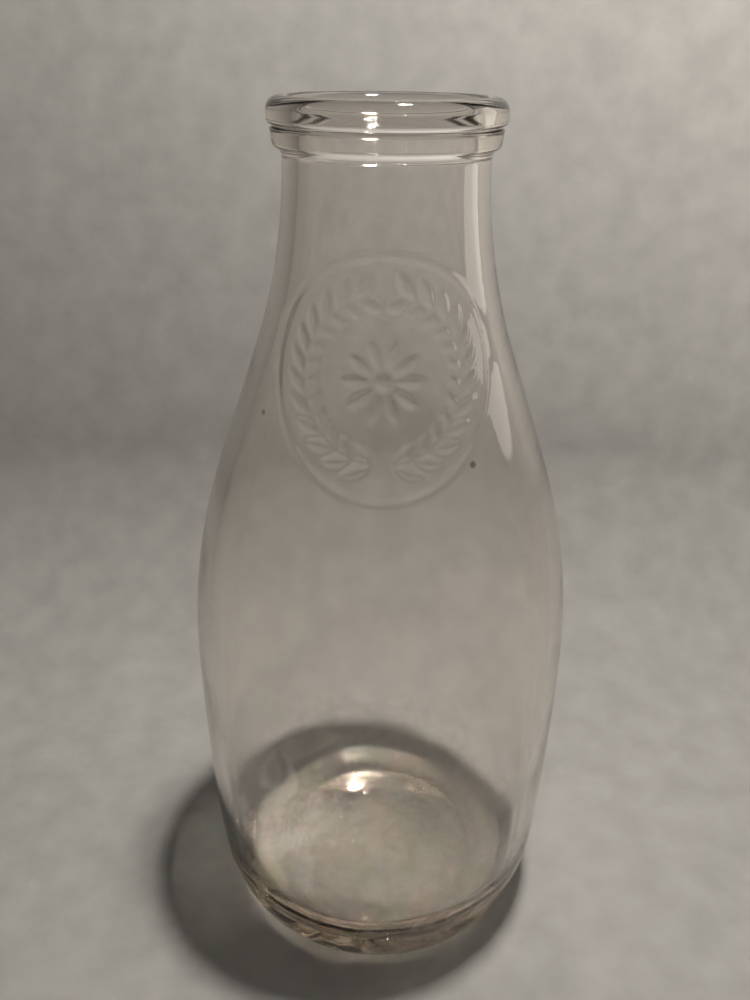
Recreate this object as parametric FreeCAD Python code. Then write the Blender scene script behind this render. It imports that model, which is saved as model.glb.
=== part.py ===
import FreeCAD, Part
import math
import os

os.makedirs("parts", exist_ok=True)

# A quart milk bottle: one piece of clear pressed-and-blown glass, round, open at the top.
# It stands on the table at height 0, with its axis upright through the origin. Sizes are in millimetres.

# Body, from the table up: a tight heel, a softer curve above it, then a wall that swells to the belly.
total_height = 221.0
belly_diameter = 100.0
belly_height = 84.5
heel_radius = 9.8
heel_blend_radius = 46.0
heel_blend_lean = 25.9
wall_lean = 4.4

# Shoulder and neck: a round shoulder, a straight flank, then a long hollow sweep into the neck.
shoulder_radius = 159.0
flank_lean = 19.5
neck_sweep_radius = 133.0
neck_lean = 1.2

# Glass thickness, and the base that the blow pushes up in the middle.
wall = 3.7
base_thickness = 9.0
inner_heel_radius = 16.0
floor_crown = 1.5
push_up = 5.5
bearing_width = 3.0

# Cap seat: the step inside the mouth that a 1 5/8 inch paper disc is pressed down onto.
disc_diameter = 41.3
disc_clearance = 0.15
seat_depth = 6.3
ledge_edge_radius = 0.8

# Finish, sized outward from the seat: a rounded bead over a collar, with a narrow groove between them
# for a hood or a capping tool to grip. The bead stands out past the collar, and the collar past the neck.
finish_height = 12.4
lip_width = 5.4
bead_overhang = 0.7
bead_foot_radius = 0.9
bead_top_radius = 2.9
groove_depth = 0.6
groove_width = 0.7
collar_overhang = 2.4
collar_height = 3.05
collar_lean = 7.0
collar_edge_radius = 1.2
cove_radius = 2.2

belly_radius = belly_diameter / 2
seat_radius = disc_diameter / 2 + disc_clearance
bead_radius = seat_radius + lip_width
collar_radius = bead_radius - bead_overhang
neck_radius = collar_radius - collar_overhang
finish_foot = total_height - finish_height
ledge_height = total_height - seat_depth


def sine(degrees):
    return math.sin(math.radians(degrees))


def cosine(degrees):
    return math.cos(math.radians(degrees))


class Outline:
    """Half of a round section, drawn as a walk; lean is the walk's tilt from straight up toward the axis."""

    def __init__(self, radius, height):
        self.here = (radius, height)
        self.edges = []

    def line(self, radius, height):
        start = FreeCAD.Vector(self.here[0], 0, self.here[1])
        end = FreeCAD.Vector(radius, 0, height)
        self.edges.append(Part.LineSegment(start, end).toShape())
        self.here = (radius, height)

    def arc(self, turn_radius, lean_from, lean_to):
        radius, height = self.here

        def at(lean):
            out = radius - turn_radius * (cosine(lean_from) - cosine(lean))
            up = height + turn_radius * (sine(lean) - sine(lean_from))
            return FreeCAD.Vector(out, 0, up)

        start = FreeCAD.Vector(radius, 0, height)
        end = at(lean_to)
        self.edges.append(Part.Arc(start, at((lean_from + lean_to) / 2), end).toShape())
        self.here = (end.x, end.z)

    def through(self, middle, end):
        points = [FreeCAD.Vector(radius, 0, height) for radius, height in (self.here, middle, end)]
        self.edges.append(Part.Arc(*points).toShape())
        self.here = end


# The heel and its blend leave this much height for the wall, whose long curve is upright at the belly.
heel_rise = heel_radius * (1 - sine(heel_blend_lean))
blend_rise = heel_blend_radius * (sine(heel_blend_lean) - sine(wall_lean))
wall_radius = (belly_height - heel_rise - blend_rise) / sine(wall_lean)
heel_reach = heel_radius * cosine(heel_blend_lean)
blend_reach = heel_blend_radius * (cosine(wall_lean) - cosine(heel_blend_lean))
wall_reach = wall_radius * (1 - cosine(wall_lean))
bearing_radius = belly_radius - heel_reach - blend_reach - wall_reach
bearing_inside = bearing_radius - bearing_width

# The neck tapers a little up to the finish, so the sweep ends wider than the neck's top. The straight
# flank is as long as the rest of the height and the step in radius ask for together.
shoulder_rise = shoulder_radius * sine(flank_lean)
shoulder_reach = shoulder_radius * (1 - cosine(flank_lean))
sweep_rise = neck_sweep_radius * (sine(flank_lean) - sine(neck_lean))
sweep_reach = neck_sweep_radius * (cosine(neck_lean) - cosine(flank_lean))
rise_left = finish_foot - belly_height - shoulder_rise - sweep_rise
reach_left = belly_radius - neck_radius - shoulder_reach - sweep_reach
taper = math.tan(math.radians(neck_lean))
flank_length = (reach_left - rise_left * taper) / (sine(flank_lean) - cosine(flank_lean) * taper)

# Outside, from the middle of the base up to the lip.
glass = Outline(0, push_up)
dome_radius = (bearing_inside**2 + push_up**2) / (2 * push_up)
dome_middle = push_up - dome_radius + math.sqrt(dome_radius**2 - (bearing_inside / 2) ** 2)
glass.through((bearing_inside / 2, dome_middle), (bearing_inside, 0))
glass.line(bearing_radius, 0)
glass.arc(heel_radius, -90, -heel_blend_lean)
glass.arc(heel_blend_radius, -heel_blend_lean, -wall_lean)
glass.arc(wall_radius, -wall_lean, 0)
glass.arc(shoulder_radius, 0, flank_lean)
flank_top = (
    glass.here[0] - flank_length * sine(flank_lean),
    glass.here[1] + flank_length * cosine(flank_lean),
)
glass.line(*flank_top)
glass.arc(-neck_sweep_radius, flank_lean, neck_lean)
glass.line(neck_radius, finish_foot)

# Finish: a cove out to the collar, the groove, then the bead that rolls over into the mouth.
collar_foot = collar_radius - collar_height * math.tan(math.radians(collar_lean))
cove_turn = cove_radius * cosine(neck_lean) + collar_edge_radius * cosine(collar_lean) - (collar_foot - neck_radius)
cove_lean = math.degrees(math.acos(cove_turn / (cove_radius + collar_edge_radius)))
glass.arc(-cove_radius, neck_lean, -cove_lean)
glass.arc(collar_edge_radius, -cove_lean, -collar_lean)
groove_foot = glass.here[1] + collar_height
glass.line(collar_radius, groove_foot)
groove_bottom = collar_radius - groove_depth
glass.line(groove_bottom, groove_foot + groove_width / 2)
glass.line(bead_radius - bead_foot_radius, groove_foot + groove_width)
glass.arc(bead_foot_radius, -90, 0)
glass.line(bead_radius, total_height - bead_top_radius)
glass.arc(bead_top_radius, 0, 90)
glass.arc(lip_width - bead_top_radius, 90, 180)

# Mouth: the seat's wall, the ledge for the disc, and the throat below it.
throat_radius = neck_radius - wall / cosine(neck_lean) - (ledge_height - finish_foot) * taper
glass.line(seat_radius, ledge_height)
glass.line(throat_radius + ledge_edge_radius, ledge_height)
glass.arc(ledge_edge_radius, 90, 180)

# Inside, back down: the same centres as the outside, one wall's thickness in.
sweep_foot = flank_top[0] - wall * cosine(flank_lean)
inner_sweep = Outline(sweep_foot, flank_top[1] - wall * sine(flank_lean))
inner_sweep.arc(-neck_sweep_radius - wall, flank_lean, neck_lean)
inner_shoulder = Outline(belly_radius - wall, belly_height)
inner_shoulder.arc(shoulder_radius - wall, 0, flank_lean)
heel_middle = base_thickness + inner_heel_radius
heel_drop = belly_height - heel_middle
heel_lean = math.degrees(math.asin(heel_drop / (wall_radius - wall - inner_heel_radius)))

glass.line(*inner_sweep.here)
glass.arc(neck_sweep_radius + wall, 180 + neck_lean, 180 + flank_lean)
glass.line(*inner_shoulder.here)
glass.arc(-shoulder_radius + wall, 180 + flank_lean, 180)
glass.arc(-wall_radius + wall, 180, 180 - heel_lean)
glass.arc(-inner_heel_radius, 180 - heel_lean, 90)
floor_radius = glass.here[0]
crown_radius = (floor_radius**2 + floor_crown**2) / (2 * floor_crown)
crown_middle = base_thickness + floor_crown - crown_radius + math.sqrt(crown_radius**2 - (floor_radius / 2) ** 2)
glass.through((floor_radius / 2, crown_middle), (0, base_thickness + floor_crown))
glass.line(0, push_up)

section = Part.Face(Part.Wire(glass.edges))
bottle = section.revolve(FreeCAD.Vector(0, 0, 0), FreeCAD.Vector(0, 0, 1), 360)
bottle.exportStep("parts/bottle.step")
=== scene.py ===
import math

import bpy
from mathutils import Matrix, Vector


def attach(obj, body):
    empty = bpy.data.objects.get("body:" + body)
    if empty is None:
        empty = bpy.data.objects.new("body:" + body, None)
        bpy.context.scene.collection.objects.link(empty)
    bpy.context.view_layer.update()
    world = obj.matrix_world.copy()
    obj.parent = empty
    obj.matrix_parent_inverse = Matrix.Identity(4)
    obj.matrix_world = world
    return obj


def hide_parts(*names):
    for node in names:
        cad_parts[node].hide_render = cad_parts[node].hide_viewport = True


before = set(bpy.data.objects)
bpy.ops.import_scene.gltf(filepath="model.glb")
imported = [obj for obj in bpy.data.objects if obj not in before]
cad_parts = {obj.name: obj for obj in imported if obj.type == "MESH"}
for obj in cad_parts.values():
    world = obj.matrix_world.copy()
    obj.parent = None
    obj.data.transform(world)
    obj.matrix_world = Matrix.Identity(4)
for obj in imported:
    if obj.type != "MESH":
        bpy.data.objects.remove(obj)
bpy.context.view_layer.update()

# Bottle: one piece of clear glass, pressed to a parison and then blown in a two-part mould, with the lip
# finished by the neck ring. It stands on the ring round its pushed-up base. Sizes are in millimetres.
belly_radius, belly_height, total_height = 50.0, 84.5, 221.0
heel_radius, blend_radius, blend_lean, wall_lean = 9.8, 46.0, 25.9, 4.4
shoulder_radius, flank_lean, sweep_radius, neck_lean = 159.0, 19.5, 133.0, 1.2
wall, base_thickness, inner_heel_radius, floor_crown = 3.7, 9.0, 16.0, 1.5
push_up, push_up_edge, bearing_width = 5.5, 8.0, 3.0
seat_radius, seat_depth, seat_corner, ledge_round = 20.8, 6.3, 0.4, 0.8
finish_height, lip_width, bead_overhang, bead_foot, bead_top = 12.4, 5.4, 0.7, 0.9, 2.9
collar_overhang, collar_height, collar_lean, collar_edge, cove = 2.4, 3.05, 7.0, 1.2, 2.2
groove_drop, groove_edge, groove_side, groove_round, groove_rise = 0.27, 0.3, 0.26, 0.25, 0.10
groove_lower_lean, groove_upper_lean = 60, 75
base_rings = 22
mm = 0.001

bead_radius = seat_radius + lip_width
collar_radius = bead_radius - bead_overhang
neck_radius = collar_radius - collar_overhang
finish_foot = total_height - finish_height
ledge = total_height - seat_depth

# The section is the built part's, with the push-up's edge, the groove and the seat's corner rounded. It is
# walked from the middle of the base, up the outside, over the lip and back down the inside. A point of it is
# a radius, a height and a face of the glass, where RIM is the underside and the lip.
OUTSIDE, INSIDE, RIM = 1, -1, 0
section = [(0, push_up, RIM)]


def sine(degrees):
    return math.sin(math.radians(degrees))


def cosine(degrees):
    return math.cos(math.radians(degrees))


def run_to(radius, height, steps, face):
    r0, z0, _ = section[-1]
    for i in range(1, steps + 1):
        section.append((r0 + (radius - r0) * i / steps, z0 + (height - z0) * i / steps, face))


def turn(radius, lean_from, lean_to, steps, face):
    r0, z0, _ = section[-1]
    for i in range(1, steps + 1):
        lean = lean_from + (lean_to - lean_from) * i / steps
        section.append((r0 - radius * (cosine(lean_from) - cosine(lean)),
                        z0 + radius * (sine(lean) - sine(lean_from)), face))


# The heel and its blend leave the rest of the height below the belly to the wall. The shoulder and the sweep
# leave the rest above it to the straight flank.
heel_rise = heel_radius * (1 - sine(blend_lean))
blend_rise = blend_radius * (sine(blend_lean) - sine(wall_lean))
wall_radius = (belly_height - heel_rise - blend_rise) / sine(wall_lean)
heel_reach = heel_radius * cosine(blend_lean)
blend_reach = blend_radius * (cosine(wall_lean) - cosine(blend_lean))
wall_reach = wall_radius * (1 - cosine(wall_lean))
bearing_radius = belly_radius - heel_reach - blend_reach - wall_reach
bearing_inside = bearing_radius - bearing_width
taper = math.tan(math.radians(neck_lean))
sweep_rise = sweep_radius * (sine(flank_lean) - sine(neck_lean))
rise_left = finish_foot - belly_height - shoulder_radius * sine(flank_lean) - sweep_rise
reach_left = belly_radius - neck_radius - shoulder_radius * (1 - cosine(flank_lean))
reach_left -= sweep_radius * (cosine(neck_lean) - cosine(flank_lean))
flank = (reach_left - rise_left * taper) / (sine(flank_lean) - cosine(flank_lean) * taper)

# Base and outside wall. The flank and sweep, which carry the raised ornament, have closer steps.
dome = (bearing_inside ** 2 + push_up ** 2) / (2 * push_up)
dome_edge = math.degrees(math.asin(bearing_inside / dome))
edge_half = push_up_edge * math.tan(math.radians(dome_edge / 2))
dome_end = dome_edge - math.degrees(edge_half / dome)
for i in range(1, base_rings + 1):
    lean = dome_end * i / base_rings
    section.append((dome * sine(lean), push_up - dome + dome * cosine(lean), RIM))
turn(push_up_edge, -90 - dome_end, -90, 6, RIM)
run_to(bearing_radius, 0, 3, RIM)
turn(heel_radius, -90, -blend_lean, 14, OUTSIDE)
turn(blend_radius, -blend_lean, -wall_lean, 10, OUTSIDE)
turn(wall_radius, -wall_lean, 0, 20, OUTSIDE)
turn(shoulder_radius, 0, flank_lean, 30, OUTSIDE)
flank_top = (section[-1][0] - flank * sine(flank_lean), section[-1][1] + flank * cosine(flank_lean))
run_to(*flank_top, 54, OUTSIDE)
turn(-sweep_radius, flank_lean, neck_lean, 76, OUTSIDE)
run_to(neck_radius, finish_foot, 2, OUTSIDE)

# Lip, cap seat and throat.
collar_foot = collar_radius - collar_height * math.tan(math.radians(collar_lean))
cove_turn = cove * cosine(neck_lean) + collar_edge * cosine(collar_lean) - (collar_foot - neck_radius)
cove_lean = math.degrees(math.acos(cove_turn / (cove + collar_edge)))
turn(-cove, neck_lean, -cove_lean, 7, RIM)
turn(collar_edge, -cove_lean, -collar_lean, 5, RIM)
groove_foot = section[-1][1] + collar_height
run_to(collar_radius, groove_foot - groove_drop, 3, RIM)
turn(groove_edge, -collar_lean, groove_lower_lean, 8, RIM)
side_rise = groove_side * cosine(groove_lower_lean) / sine(groove_lower_lean)
run_to(section[-1][0] - groove_side, section[-1][1] + side_rise, 2, RIM)
turn(-groove_round, groove_lower_lean, -groove_upper_lean, 10, RIM)
run_to(bead_radius - bead_foot * (1 - cosine(groove_upper_lean)), section[-1][1] + groove_rise, 2, RIM)
turn(bead_foot, -groove_upper_lean, 0, 8, RIM)
run_to(bead_radius, total_height - bead_top, 2, RIM)
turn(bead_top, 0, 90, 10, RIM)
turn(lip_width - bead_top, 90, 180, 8, RIM)
run_to(seat_radius, ledge + seat_corner, 3, RIM)
turn(-seat_corner, 180, 90, 3, RIM)
throat = neck_radius - wall / cosine(neck_lean) - (ledge - finish_foot) * taper
run_to(throat + ledge_round, ledge, 1, RIM)
turn(ledge_round, 90, 180, 4, RIM)

# Inside wall and floor, on the outside's centres and one wall in.
sweep_top = flank_top[1] + sweep_rise
inner_neck = (neck_radius + (finish_foot - sweep_top) * taper - wall * cosine(neck_lean),
              sweep_top - wall * sine(neck_lean))
inner_shoulder = (belly_radius - wall - (shoulder_radius - wall) * (1 - cosine(flank_lean)),
                  belly_height + (shoulder_radius - wall) * sine(flank_lean))
heel_middle = base_thickness + inner_heel_radius
heel_lean = math.degrees(math.asin((belly_height - heel_middle) / (wall_radius - wall - inner_heel_radius)))
run_to(*inner_neck, 3, INSIDE)
turn(sweep_radius + wall, 180 + neck_lean, 180 + flank_lean, 22, INSIDE)
run_to(*inner_shoulder, 9, INSIDE)
turn(wall - shoulder_radius, 180 + flank_lean, 180, 20, INSIDE)
turn(wall - wall_radius, 180, 180 - heel_lean, 20, INSIDE)
turn(-inner_heel_radius, 180 - heel_lean, 90, 16, INSIDE)
floor_radius = section[-1][0]
crown = (floor_radius ** 2 + floor_crown ** 2) / (2 * floor_crown)
crown_centre = base_thickness + floor_crown - crown
for i in range(base_rings - 1, -1, -1):
    radius = floor_radius * i / base_rings
    section.append((radius, crown_centre + math.sqrt(crown ** 2 - radius ** 2), INSIDE))

# The section as a line in metres. Each point keeps its face of the glass and its run from the first point.
line = bpy.data.meshes.new("bottle_section")
line.from_pydata([(r * mm, 0, z * mm) for r, z, _ in section],
                 [(i, i + 1) for i in range(len(section) - 1)], [])
line.attributes.new("face", "FLOAT", "POINT").data.foreach_set("value", [float(f) for _, _, f in section])
run = [0.0]
for (r0, z0, _), (r1, z1, _) in zip(section, section[1:]):
    run.append(run[-1] + math.hypot(r1 - r0, z1 - z0) * mm)
line.attributes.new("run", "FLOAT", "POINT").data.foreach_set("value", run)
bottle = bpy.data.objects.new("bottle_glass", line)
scene = bpy.context.scene
scene.collection.objects.link(bottle)


class Nodes:
    """Adds nodes to a tree and wires them. An input is given as a number or as another node's output."""

    def __init__(self, tree):
        self.tree = tree

    def add(self, kind, *inputs, **settings):
        node = self.tree.nodes.new(kind)
        named = settings.pop("inputs", {})
        for name, value in settings.items():
            setattr(node, name, value)
        wanted = list(zip([s for s in node.inputs if s.enabled], inputs))
        wanted += [(self.find(node.inputs, name), value) for name, value in named.items()]
        for socket, value in wanted:
            if value is None:
                continue
            if isinstance(value, bpy.types.NodeSocket):
                self.tree.links.new(value, socket)
            else:
                socket.default_value = value
        return node

    @staticmethod
    def find(sockets, name):
        return next(s for s in sockets if s.enabled and s.name == name)

    @staticmethod
    def out(node, name=None):
        return next(s for s in node.outputs if s.enabled and (name is None or s.name == name))

    def math(self, operation, *values):
        return self.out(self.add("ShaderNodeMath", *values, operation=operation))

    def times(self, first, *others):
        product = first
        for other in others:
            product = self.math("MULTIPLY", product, other)
        return product

    def ease(self, value, low, high, out_low=0.0, out_high=1.0, kind="SMOOTHSTEP"):
        node = self.add("ShaderNodeMapRange", interpolation_type=kind, clamp=True, inputs={
            "Value": value, "From Min": low, "From Max": high, "To Min": out_low, "To Max": out_high})
        return self.out(node)

    def parts(self, vector):
        return self.add("ShaderNodeSeparateXYZ", vector).outputs

    def point(self, x, y, z):
        return self.out(self.add("ShaderNodeCombineXYZ", x, y, z))

    def noise(self, vector, **sizes):
        named = {name.capitalize(): size for name, size in sizes.items()}
        return self.add("ShaderNodeTexNoise", inputs={"Vector": vector, **named}).outputs["Fac"]

    def blend(self, share, colour, other):
        return self.out(self.add("ShaderNodeMix", data_type="RGBA", inputs={
            "Factor": share, "A": colour, "B": other}))


# The tree turns the section round the axis, in narrow steps across the front, where the ornament stands,
# and wider ones behind. Then it raises the ornament and works in the mould seams and the glass's waves.
turned = bpy.data.node_groups.new("turned_glass", "GeometryNodeTree")
for name, kind, value in (
    ("Section", "NodeSocketGeometry", None), ("Rows", "NodeSocketInt", len(section)),
    ("Front Steps", "NodeSocketInt", 132), ("Back Steps", "NodeSocketInt", 68),
    ("Front Half Angle", "NodeSocketFloat", math.radians(50)),
    ("Ornament Height", "NodeSocketFloat", 0.0005), ("Ornament Run", "NodeSocketFloat", 0.0),
    ("Wreath Radius", "NodeSocketFloat", 0.0175), ("Ring Radius", "NodeSocketFloat", 0.0258),
    ("Petal Start", "NodeSocketFloat", 0.0028), ("Button Radius", "NodeSocketFloat", 0.0019),
    ("Seam Height", "NodeSocketFloat", 0.00012), ("Seam Reach", "NodeSocketFloat", 0.0016),
    ("Outside Wave", "NodeSocketFloat", 0.00007), ("Inside Wave", "NodeSocketFloat", 0.0012),
    ("Wall Share", "NodeSocketFloat", 0.22), ("Base Swirl", "NodeSocketFloat", 0.0014),
    ("Glass", "NodeSocketMaterial", None),
):
    socket = turned.interface.new_socket(name, in_out="INPUT", socket_type=kind)
    if value is not None:
        socket.default_value = value
turned.interface.new_socket("Bottle", in_out="OUTPUT", socket_type="NodeSocketGeometry")
g = Nodes(turned)
given = turned.nodes.new("NodeGroupInput").outputs


def position():
    return g.out(g.add("GeometryNodeInputPosition"))


def kept(name):
    return g.out(g.add("GeometryNodeInputNamedAttribute", name, data_type="FLOAT"))


# A grid gives each point its column, which is a step round the bottle, and its row, a point of the section.
weld = 0.000001
steps = g.math("ADD", given["Front Steps"], given["Back Steps"])
made = g.out(g.add("GeometryNodeMeshGrid", 1.0, 1.0, g.math("ADD", steps, 1.0), given["Rows"]))
on_grid = g.parts(position())
last_row = g.math("SUBTRACT", given["Rows"], 1.0)
column = g.math("ROUND", g.times(g.math("ADD", on_grid["X"], 0.5), steps))
row = g.math("ROUND", g.times(g.math("ADD", on_grid["Y"], 0.5), last_row))
half_back = g.times(given["Back Steps"], 0.5)
front_end = g.math("ADD", half_back, given["Front Steps"])
back_angle = g.math("SUBTRACT", math.pi, given["Front Half Angle"])
front_angle = g.times(given["Front Half Angle"], 2.0)
angle = g.math("ADD", -math.pi, g.ease(column, 0.0, half_back, 0.0, back_angle, "LINEAR"))
angle = g.math("ADD", angle, g.ease(column, half_back, front_end, 0.0, front_angle, "LINEAR"))
angle = g.math("ADD", angle, g.ease(column, front_end, steps, 0.0, back_angle, "LINEAR"))


def of_section(kind, value):
    sample = g.add("GeometryNodeSampleIndex", given["Section"], value, row, data_type=kind, domain="POINT")
    return g.out(sample)


on_line = g.parts(of_section("FLOAT_VECTOR", position()))
radius, height = on_line["X"], on_line["Z"]
for name, value in (
    ("face", of_section("FLOAT", kept("face"))), ("along", of_section("FLOAT", kept("run"))),
    ("around", g.times(angle, radius)), ("angle", angle),
):
    made = g.out(g.add("GeometryNodeStoreNamedAttribute", made, None, name, value,
                       data_type="FLOAT", domain="POINT"))
backward = g.times(radius, g.times(g.math("COSINE", angle), -1.0))
spot = g.point(g.times(radius, g.math("SINE", angle)), backward, height)
made = g.out(g.add("GeometryNodeSetPosition", made, None, spot))
made = g.out(g.add("GeometryNodeMergeByDistance", made, None, weld))

# Ornament: a plain wreath of leaves round a daisy, inside a thin ring, drawn flat and then raised on the
# flank. Leaves and petals are given as length and width, and the wreath's stem as its start and its sweep.
outer_leaf, inner_leaf, petal = (0.0074, 0.0034), (0.0066, 0.0032), (0.0066, 0.0030)
leaves_to_a_side, leaf_splay, leaf_taper, petal_count = 12, math.radians(34), 0.45, 10
stem_start, stem_sweep, stem_steps, outline_steps = math.radians(-82), math.radians(150), 64, 20
leaf_foot, leaf_crest, on_leaf = -0.0003, 0.0012, 0.00001
ring_crest, ring_foot, ring_share = 0.0001, 0.0013, 0.55


def leaf(length, width):
    disc = g.add("GeometryNodeMeshCircle", outline_steps, 1.0, fill_type="NGON")
    at = g.parts(position())
    tapered = g.times(at["Y"], g.math("POWER", g.math("ABSOLUTE", at["Y"]), leaf_taper))
    shape = g.point(g.times(g.math("ADD", at["X"], 1.0), length / 2), g.times(tapered, width / 2), 0.0)
    return g.out(g.add("GeometryNodeSetPosition", g.out(disc), None, shape))


def set_on(points, shape, heading):
    turn_by = g.point(0.0, 0.0, heading)
    return g.out(g.add("GeometryNodeInstanceOnPoints", points, None, shape, None, None, turn_by))


def joined(*shapes):
    join = g.add("GeometryNodeJoinGeometry")
    for shape in shapes:
        turned.links.new(shape, join.inputs[0])
    return g.out(join)


def sprig(splay, size):
    stem = g.add("GeometryNodeCurveArc", stem_steps, given["Wreath Radius"], stem_start, stem_sweep,
                 mode="RADIUS")
    buds = g.add("GeometryNodeCurveToPoints", g.out(stem), leaves_to_a_side, mode="COUNT")
    way = g.parts(buds.outputs["Tangent"])
    heading = g.math("ADD", g.math("ARCTAN2", way["Y"], way["X"]), splay)
    return set_on(buds.outputs["Points"], leaf(*size), heading)


right = joined(sprig(-leaf_splay, outer_leaf), sprig(leaf_splay, inner_leaf))
left = g.out(g.add("GeometryNodeTransform", right, inputs={"Scale": (-1, 1, 1)}))
petal_feet = g.out(g.add("GeometryNodeMeshCircle", petal_count, given["Petal Start"], fill_type="NONE"))
foot = g.parts(position())
petals = set_on(petal_feet, leaf(*petal), g.math("ARCTAN2", foot["Y"], foot["X"]))
button = g.out(g.add("GeometryNodeMeshCircle", outline_steps, given["Button Radius"], fill_type="NGON"))
drawn = g.out(g.add("GeometryNodeRealizeInstances", joined(right, left, petals, button)))

# The glass rises with the depth inside a leaf's edge. Outside a leaf the depth is negative.
flat = g.point(kept("around"), g.math("SUBTRACT", kept("along"), given["Ornament Run"]), 0.0)
to_face = g.add("GeometryNodeProximity", drawn, target_element="FACES", inputs={"Sample Position": flat})
to_edge = g.add("GeometryNodeProximity", drawn, target_element="EDGES", inputs={"Sample Position": flat})
within = g.math("LESS_THAN", to_face.outputs["Distance"], on_leaf)
depth = g.times(to_edge.outputs["Distance"], g.math("SUBTRACT", g.times(within, 2.0), 1.0))
leaves = g.ease(depth, leaf_foot, leaf_crest)
from_middle = g.out(g.add("ShaderNodeVectorMath", flat, operation="LENGTH"), "Value")
from_ring = g.math("ABSOLUTE", g.math("SUBTRACT", from_middle, given["Ring Radius"]))
ring = g.ease(from_ring, ring_crest, ring_foot, ring_share, 0.0)
outside = g.math("GREATER_THAN", kept("face"), 0.5)
inside = g.math("LESS_THAN", kept("face"), -0.5)
lift = g.times(g.math("MAXIMUM", leaves, ring), outside, given["Ornament Height"])

# Mould seams: a fine ridge up each side, where the two halves of the mould met.
mean_radius = 0.045
to_seam = g.times(g.math("SUBTRACT", g.math("ABSOLUTE", kept("angle")), math.pi / 2), mean_radius)
seam = g.ease(g.math("ABSOLUTE", to_seam), 0.0, given["Seam Reach"], 1.0, 0.0)
lift = g.math("ADD", lift, g.times(seam, outside, given["Seam Height"]))

# Waves: the mould leaves the outside nearly true, the blow leaves the inside uneven, less so on the wall
# than low down, and the floor has a swirl of its own. Heights are in metres above the table.
ripple_squash = (1.0, 1.0, 3.2)
uneven_below, even_above, swirl_below, still_above = 0.012, 0.032, 0.011, 0.018


def wave(noise, where, size):
    return g.times(g.math("SUBTRACT", noise, 0.5), g.times(where, size))


up = g.parts(position())["Z"]
squashed = g.out(g.add("ShaderNodeVectorMath", position(), ripple_squash, operation="MULTIPLY"))
uneven = g.times(inside, g.ease(up, uneven_below, even_above, 1.0, given["Wall Share"]))
swirled = g.times(g.ease(up, swirl_below, still_above, 1.0, 0.0), inside)
ripple = wave(g.noise(squashed, scale=60.0, detail=1.5), outside, given["Outside Wave"])
sag = wave(g.noise(position(), scale=42.0, detail=1.0), uneven, given["Inside Wave"])
swirl = wave(g.noise(position(), scale=95.0, detail=1.0, distortion=0.8), swirled, given["Base Swirl"])
lift = g.math("ADD", lift, g.math("ADD", ripple, sag))
lift = g.math("ADD", lift, swirl)
normal = g.out(g.add("GeometryNodeInputNormal"))
push = g.out(g.add("ShaderNodeVectorMath", normal, operation="SCALE", inputs={"Scale": lift}))
made = g.out(g.add("GeometryNodeSetPosition", made, None, None, push))
made = g.out(g.add("GeometryNodeSetShadeSmooth", made))
made = g.out(g.add("GeometryNodeRealizeInstances", made))
made = g.out(g.add("GeometryNodeSetMaterial", made, None, given["Glass"]))
turned.links.new(made, turned.nodes.new("NodeGroupOutput").inputs[0])

# Glass: clear flint with a faint warm tint that shows where it is thick, an uneven film of haze from use,
# a thin milky residue low down, on the inside and the underside, and a few dark seeds in it.
refraction, tint, tint_density = 1.52, (0.8125, 0.51, 0.1875, 1), 13.5
hazy_tone, clear_tone, seed_tone = (0.99, 0.985, 0.975, 1), (1.0, 0.998, 0.995, 1), (0.22, 0.16, 0.11, 1)
least_haze, most_haze, residue_haze, residue_milk = 0.015, 0.11, 0.15, 0.13
film_from, film_to, patch_from, patch_to = 0.35, 0.75, 0.40, 0.62
residue_below, clean_above = 0.010, 0.045
seed_core, seed_edge, cells_without_seed = 0.02, 0.045, 0.80
glass = bpy.data.materials.new("flint_glass")
glass.use_nodes = True
m = Nodes(glass.node_tree)
shader = glass.node_tree.nodes["Principled BSDF"]
shader.inputs["IOR"].default_value = refraction
shader.inputs["Transmission Weight"].default_value = 1.0
where = m.out(m.add("ShaderNodeTexCoord"), "Object")
film = m.noise(where, scale=38.0, detail=6.0, roughness=0.62)
haze = m.ease(film, film_from, film_to, least_haze, most_haze, "LINEAR")
blotches = m.noise(where, scale=80.0, detail=4.0, roughness=0.58, distortion=1.6)
patches = m.ease(blotches, patch_from, patch_to)
face = m.add("ShaderNodeAttribute", attribute_name="face").outputs["Fac"]
not_outside = m.ease(face, float(RIM), float(OUTSIDE), 1.0, 0.0)
low_down = m.ease(m.parts(where)["Z"], residue_below, clean_above, 1.0, 0.0)
residue = m.times(patches, not_outside, low_down)
haze = m.math("ADD", haze, m.times(residue, residue_haze))
clearness = m.math("SUBTRACT", 1.0, m.times(residue, residue_milk))
cells = m.add("ShaderNodeTexVoronoi", inputs={"Vector": where, "Scale": 42.0})
lot = m.out(m.add("ShaderNodeSeparateColor", cells.outputs["Color"]))
chosen = m.math("GREATER_THAN", lot, cells_without_seed)
seed = m.times(m.ease(cells.outputs["Distance"], seed_core, seed_edge, 1.0, 0.0), chosen)
tone = m.blend(seed, m.blend(film, hazy_tone, clear_tone), seed_tone)
absorb = m.add("ShaderNodeVolumeAbsorption")
absorb.inputs["Color"].default_value = tint
absorb.inputs["Density"].default_value = tint_density
glass.node_tree.links.new(clearness, shader.inputs["Transmission Weight"])
glass.node_tree.links.new(haze, shader.inputs["Roughness"])
glass.node_tree.links.new(tone, shader.inputs["Base Color"])
glass.node_tree.links.new(absorb.outputs["Volume"], glass.node_tree.nodes["Material Output"].inputs["Volume"])

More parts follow.
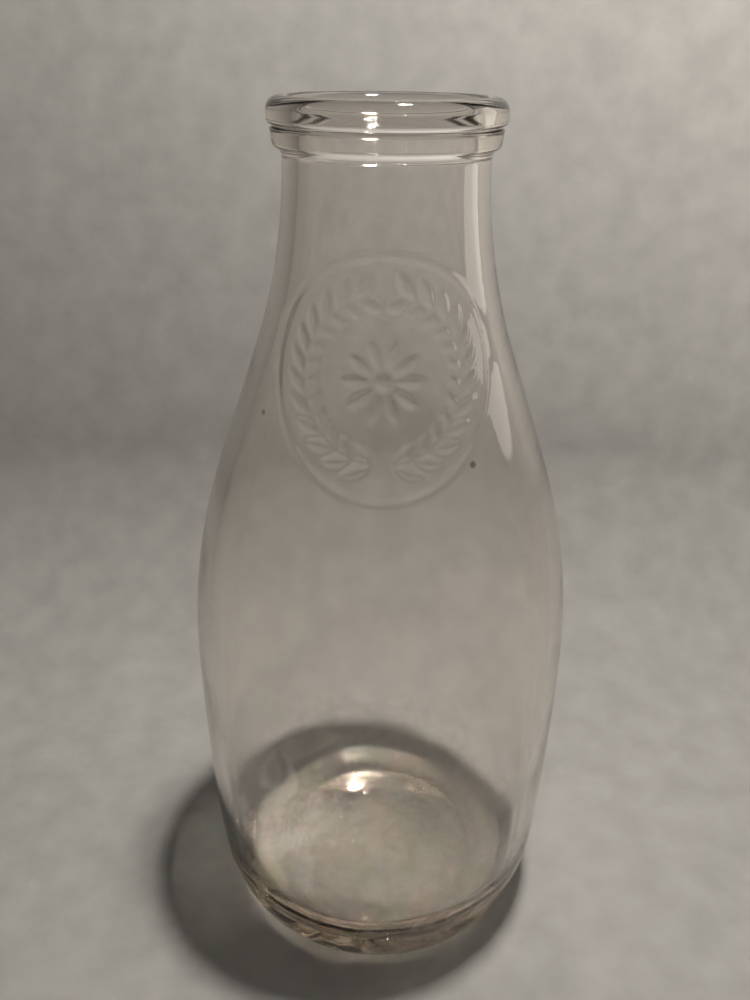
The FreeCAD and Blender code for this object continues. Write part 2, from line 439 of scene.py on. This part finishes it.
# The tree runs once, with the ornament's middle at its height on the flank, and leaves a plain mesh.
ornament_middle = 167.0
on_outside = [i for i, (_, _, side) in enumerate(section) if side == OUTSIDE]
level = min(on_outside, key=lambda i: abs(section[i][1] - ornament_middle))
lathe = bottle.modifiers.new("turned_glass", "NODES")
lathe.node_group = turned
sockets = {s.name: s.identifier for s in turned.interface.items_tree if s.in_out == "INPUT"}
lathe[sockets["Glass"]] = glass
lathe[sockets["Ornament Run"]] = run[level]
shaped = bpy.data.meshes.new_from_object(bottle.evaluated_get(bpy.context.evaluated_depsgraph_get()))
bottle.modifiers.clear()
bottle.data = shaped
shaped.name = "bottle_glass"
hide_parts("bottle")
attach(bottle, "root")

# Stage: a pale sheet that lies flat under the bottle and sweeps up behind it, over a table that runs on flat.
# It isn't part of the bottle. Seen from behind the sheet is clear, so that it doesn't hide the bottle.
half_width, reach, front_strip, back, bend, bend_steps = 1.3, 1.2, 0.5, 0.15, 0.09, 12
lean_and_height = ((0.05, 0.3), (0.2, 0.9))
table_drop = 0.0005
profile = [(-reach, 0.0), (-front_strip, 0.0), (back - bend, 0.0)]
for i in range(1, bend_steps + 1):
    bent = math.pi / 2 * i / bend_steps
    profile.append((back - bend + bend * math.sin(bent), bend - bend * math.cos(bent)))
profile += [(back + lean, height) for lean, height in lean_and_height]
table = [(back - bend, -table_drop), (reach, -table_drop)]
points = [(x, y, z) for y, z in profile + table for x in (-half_width, half_width)]
strips = [i for i in range(len(profile) + 1) if i != len(profile) - 1]
sheet_mesh = bpy.data.meshes.new("sheet")
sheet_mesh.from_pydata(points, [], [(2 * i, 2 * i + 1, 2 * i + 3, 2 * i + 2) for i in strips])
for strip in sheet_mesh.polygons:
    strip.use_smooth = True
sheet = bpy.data.objects.new("sheet", sheet_mesh)
scene.collection.objects.link(sheet)

# The sheet is matt and faintly mottled, with painted light: lighter up the wall and toward the right. Places
# on it are in metres.
floor_tone, painted_light_wall_tone = (0.325, 0.32, 0.308, 1), (0.49, 0.482, 0.467, 1)
paper_roughness, paper_shine, least_mottle, most_mottle = 0.9, 0.1, 0.92, 1.08
dim_left, light_right, left_share, light_above = -0.20, 0.25, 0.25, 0.12
paper = bpy.data.materials.new("pale_sheet")
paper.use_nodes = True
p = Nodes(paper.node_tree)
paper_shader = paper.node_tree.nodes["Principled BSDF"]
paper_shader.inputs["Roughness"].default_value = paper_roughness
paper_shader.inputs["Specular IOR Level"].default_value = paper_shine
lying = p.out(p.add("ShaderNodeTexCoord"), "Object")
spot_on = p.parts(lying)
# Painted light: the sheet's colour is blended toward a lighter tone to the right and up the wall, standing in
# for light falling there.
painted_light_to_right = p.ease(spot_on["X"], dim_left, light_right, left_share, 1.0)
painted_light_up_wall = p.ease(spot_on["Z"], 0.0, light_above)
shade = p.blend(p.times(painted_light_to_right, painted_light_up_wall), floor_tone, painted_light_wall_tone)
mottle = p.ease(p.noise(lying, scale=90.0, detail=5.0), 0.3, 0.7, least_mottle, most_mottle, "LINEAR")
mottled = p.out(p.add("ShaderNodeVectorMath", shade, operation="SCALE", inputs={"Scale": mottle}))
paper.node_tree.links.new(mottled, paper_shader.inputs["Base Color"])
clear = p.add("ShaderNodeBsdfTransparent")
behind = p.out(p.add("ShaderNodeNewGeometry"), "Backfacing")
either = p.add("ShaderNodeMixShader", behind, paper_shader.outputs[0], clear.outputs[0])
paper.node_tree.links.new(either.outputs[0], paper.node_tree.nodes["Material Output"].inputs["Surface"])
sheet_mesh.materials.append(paper)

# Light: a lamp overhead and a little to the right, a dim oval panel at the right that draws the soft streak
# down the neck, and a dim, even room. The panel doesn't show through the glass in other views. Light passes
# many faces of glass on its way, so it may bounce often, and no glint is blurred or held down.
room_tone, room_strength, bounces = (1.0, 0.97, 0.93, 1), 0.085, 24
scene.view_settings.view_transform = "Standard"
scene.cycles.blur_glossy = 0.0
scene.cycles.sample_clamp_indirect = 0.0
scene.cycles.max_bounces = bounces
scene.cycles.transmission_bounces = bounces
room = bpy.data.worlds.new("room")
room.use_nodes = True
scene.world = room
room.node_tree.nodes["Background"].inputs["Color"].default_value = room_tone
room.node_tree.nodes["Background"].inputs["Strength"].default_value = room_strength


def lamp(name, place, aim, size, watts, colour):
    data = bpy.data.lights.new(name, "AREA")
    data.shape = "ELLIPSE"
    data.size, data.size_y = size
    data.energy = watts
    data.color = colour
    lit = bpy.data.objects.new(name, data)
    lit.location = place
    lit.rotation_euler = (Vector(aim) - Vector(place)).to_track_quat("-Z", "Y").to_euler()
    scene.collection.objects.link(lit)
    return lit


lamp("overhead", (0.08, 0.0, 0.72), (0, 0, 0), (0.06, 0.06), 4.6, (1.0, 0.95, 0.88))
panel = lamp("side", (0.36, 0.07, 0.28), (0, 0, 0.28), (0.22, 0.28), 0.32, (1.0, 0.92, 0.82))
panel.visible_transmission = False

# Camera: at the photograph's place, 211 mm in front of the bottle's axis and just above the lip. Its focal
# length is in pixels of the photograph, whose longer side the sensor spans.
distance, eye, pitch, yaw, roll = 0.2110, 0.2283, 26.224, -0.468, 0.640
focal_pixels, longer_side_pixels, sensor, nearest = 900.0, 1000, 36.0, 0.005
forward = Vector((sine(yaw) * cosine(pitch), cosine(yaw) * cosine(pitch), -sine(pitch)))
across = Vector((cosine(yaw), -sine(yaw), 0))
upward = across.cross(forward)
across, upward = (across * cosine(roll) + upward * sine(roll), upward * cosine(roll) - across * sine(roll))
view = bpy.data.cameras.new("camera")
view.sensor_width = sensor
view.lens = focal_pixels / longer_side_pixels * sensor
view.clip_start = nearest
camera = bpy.data.objects.new("camera", view)
turned_to = Matrix((across, upward, -forward)).transposed().to_4x4()
turned_to.translation = (0, -distance, eye)
camera.matrix_world = turned_to
scene.collection.objects.link(camera)
scene.camera = camera
